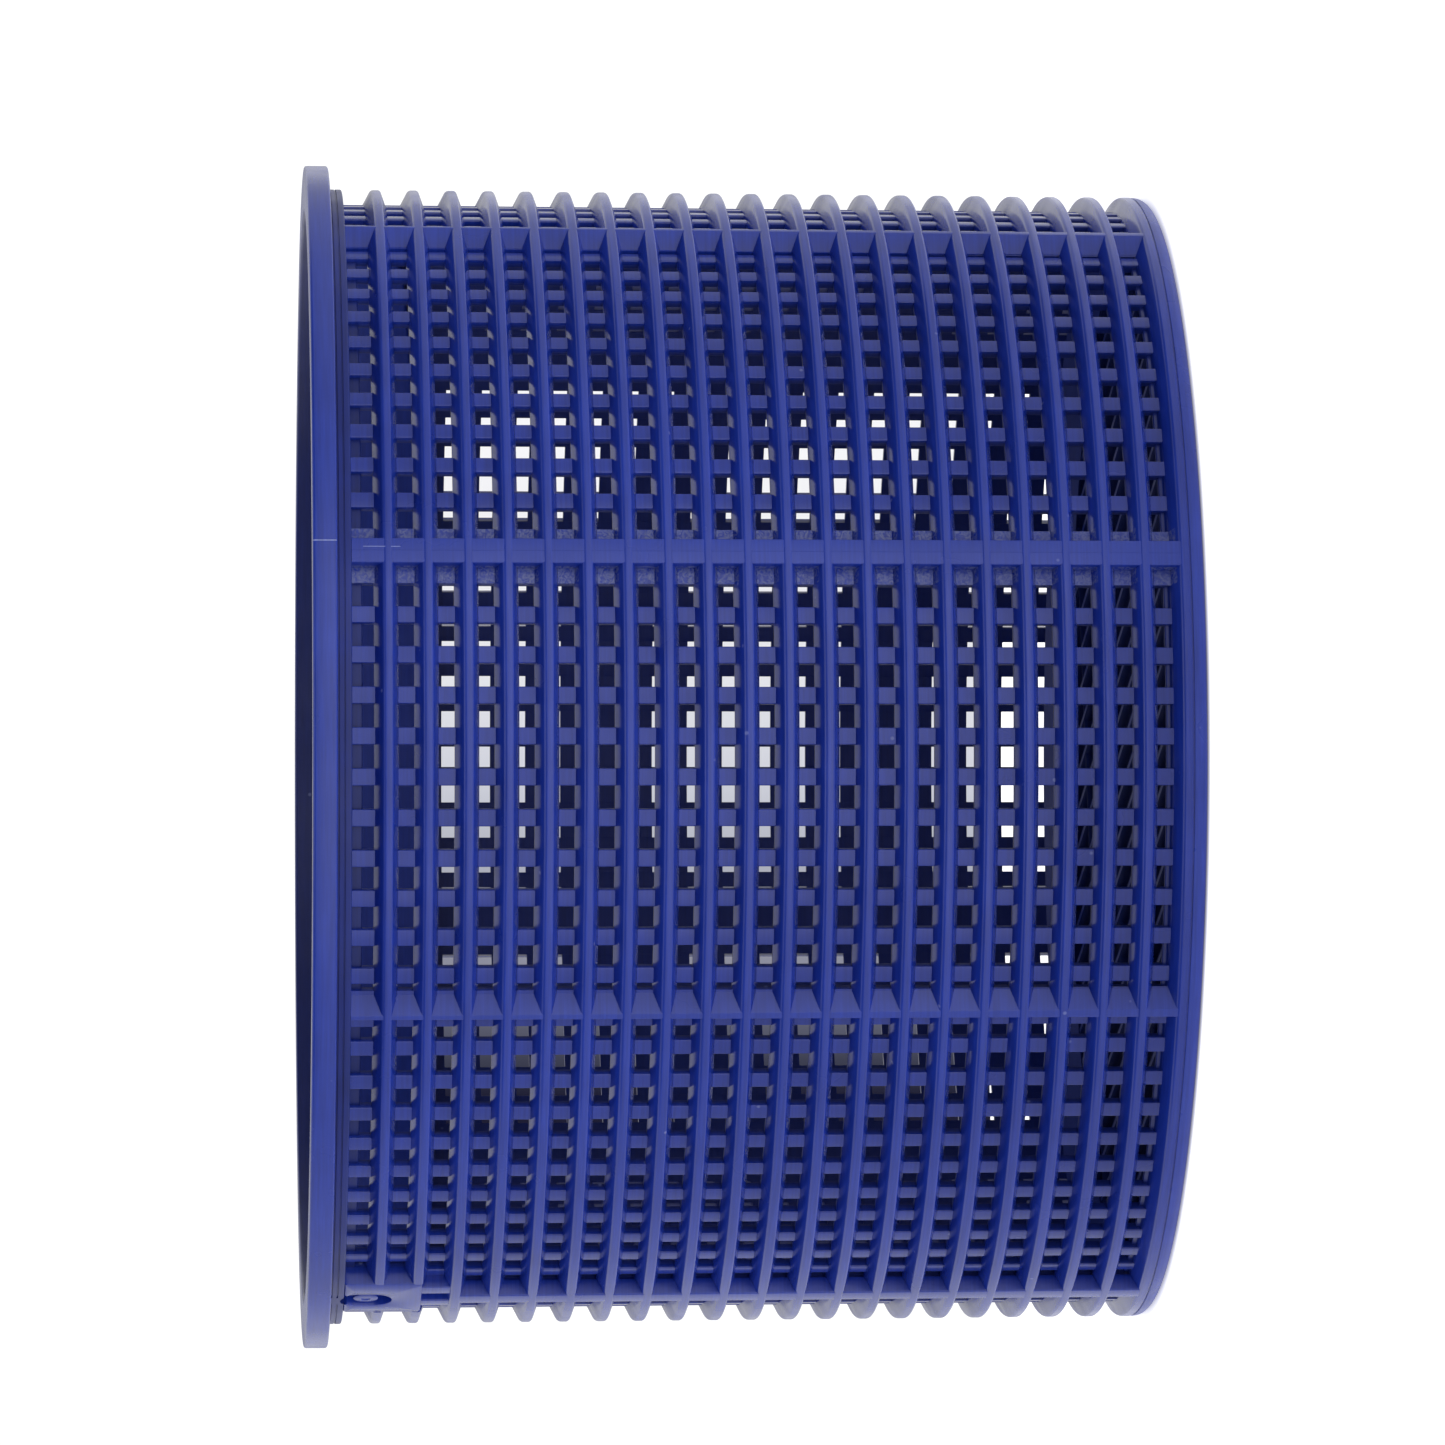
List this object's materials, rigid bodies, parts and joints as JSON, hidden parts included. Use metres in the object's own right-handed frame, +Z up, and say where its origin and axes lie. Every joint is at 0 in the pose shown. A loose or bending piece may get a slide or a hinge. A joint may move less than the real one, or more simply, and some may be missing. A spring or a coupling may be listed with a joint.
{
  "type": "skimmer basket",
  "caption": "Round skimmer basket with a resting flange, a lattice wall of hoops and bars, a grille base and a hoop handle that folds down inside.",
  "frame": {"origin": "centre of the underside of the base, on the plane the basket stands on", "axes": "+Z up, from the base to the mouth. X is the axis of the handle's pivots. The mould's parting line runs down the wall at +Y and -Y, and the handle lies folded against the +Y side."},
  "size_m": [0.189, 0.189, 0.1345],
  "materials": {
    "basket": "royal blue moulded polypropylene, semi-gloss",
    "handle": "royal blue moulded polypropylene, semi-gloss"
  },
  "bodies": {
    "basket": {"rim_flange": "basket", "shoulder_collar": "basket", "wall_panel_1": "basket", "wall_panel_2": "basket", "wall_panel_3": "basket", "wall_panel_4": "basket", "wall_panel_5": "basket", "wall_panel_6": "basket", "wall_panel_7": "basket", "wall_panel_8": "basket", "parting_rib_1": "basket", "parting_rib_2": "basket", "pivot_rib_1": "basket", "pivot_rib_2": "basket", "ramp_rib_1": "basket", "ramp_rib_2": "basket", "ramp_rib_3": "basket", "ramp_rib_4": "basket", "pivot_plate_1": "basket", "pivot_plate_2": "basket", "base_rim": "basket", "base_grille": "basket"},
    "handle": {"handle_strap": "handle", "pivot_pin_1": "handle", "pivot_pin_2": "handle"}
  },
  "joints": [
    {"name": "handle_fold", "type": "hinge", "parent": "basket", "child": "handle", "pos_m": [0, 0, 0.1252], "axis": [1, 0, 0], "range_deg": [0, 188]}
  ]
}
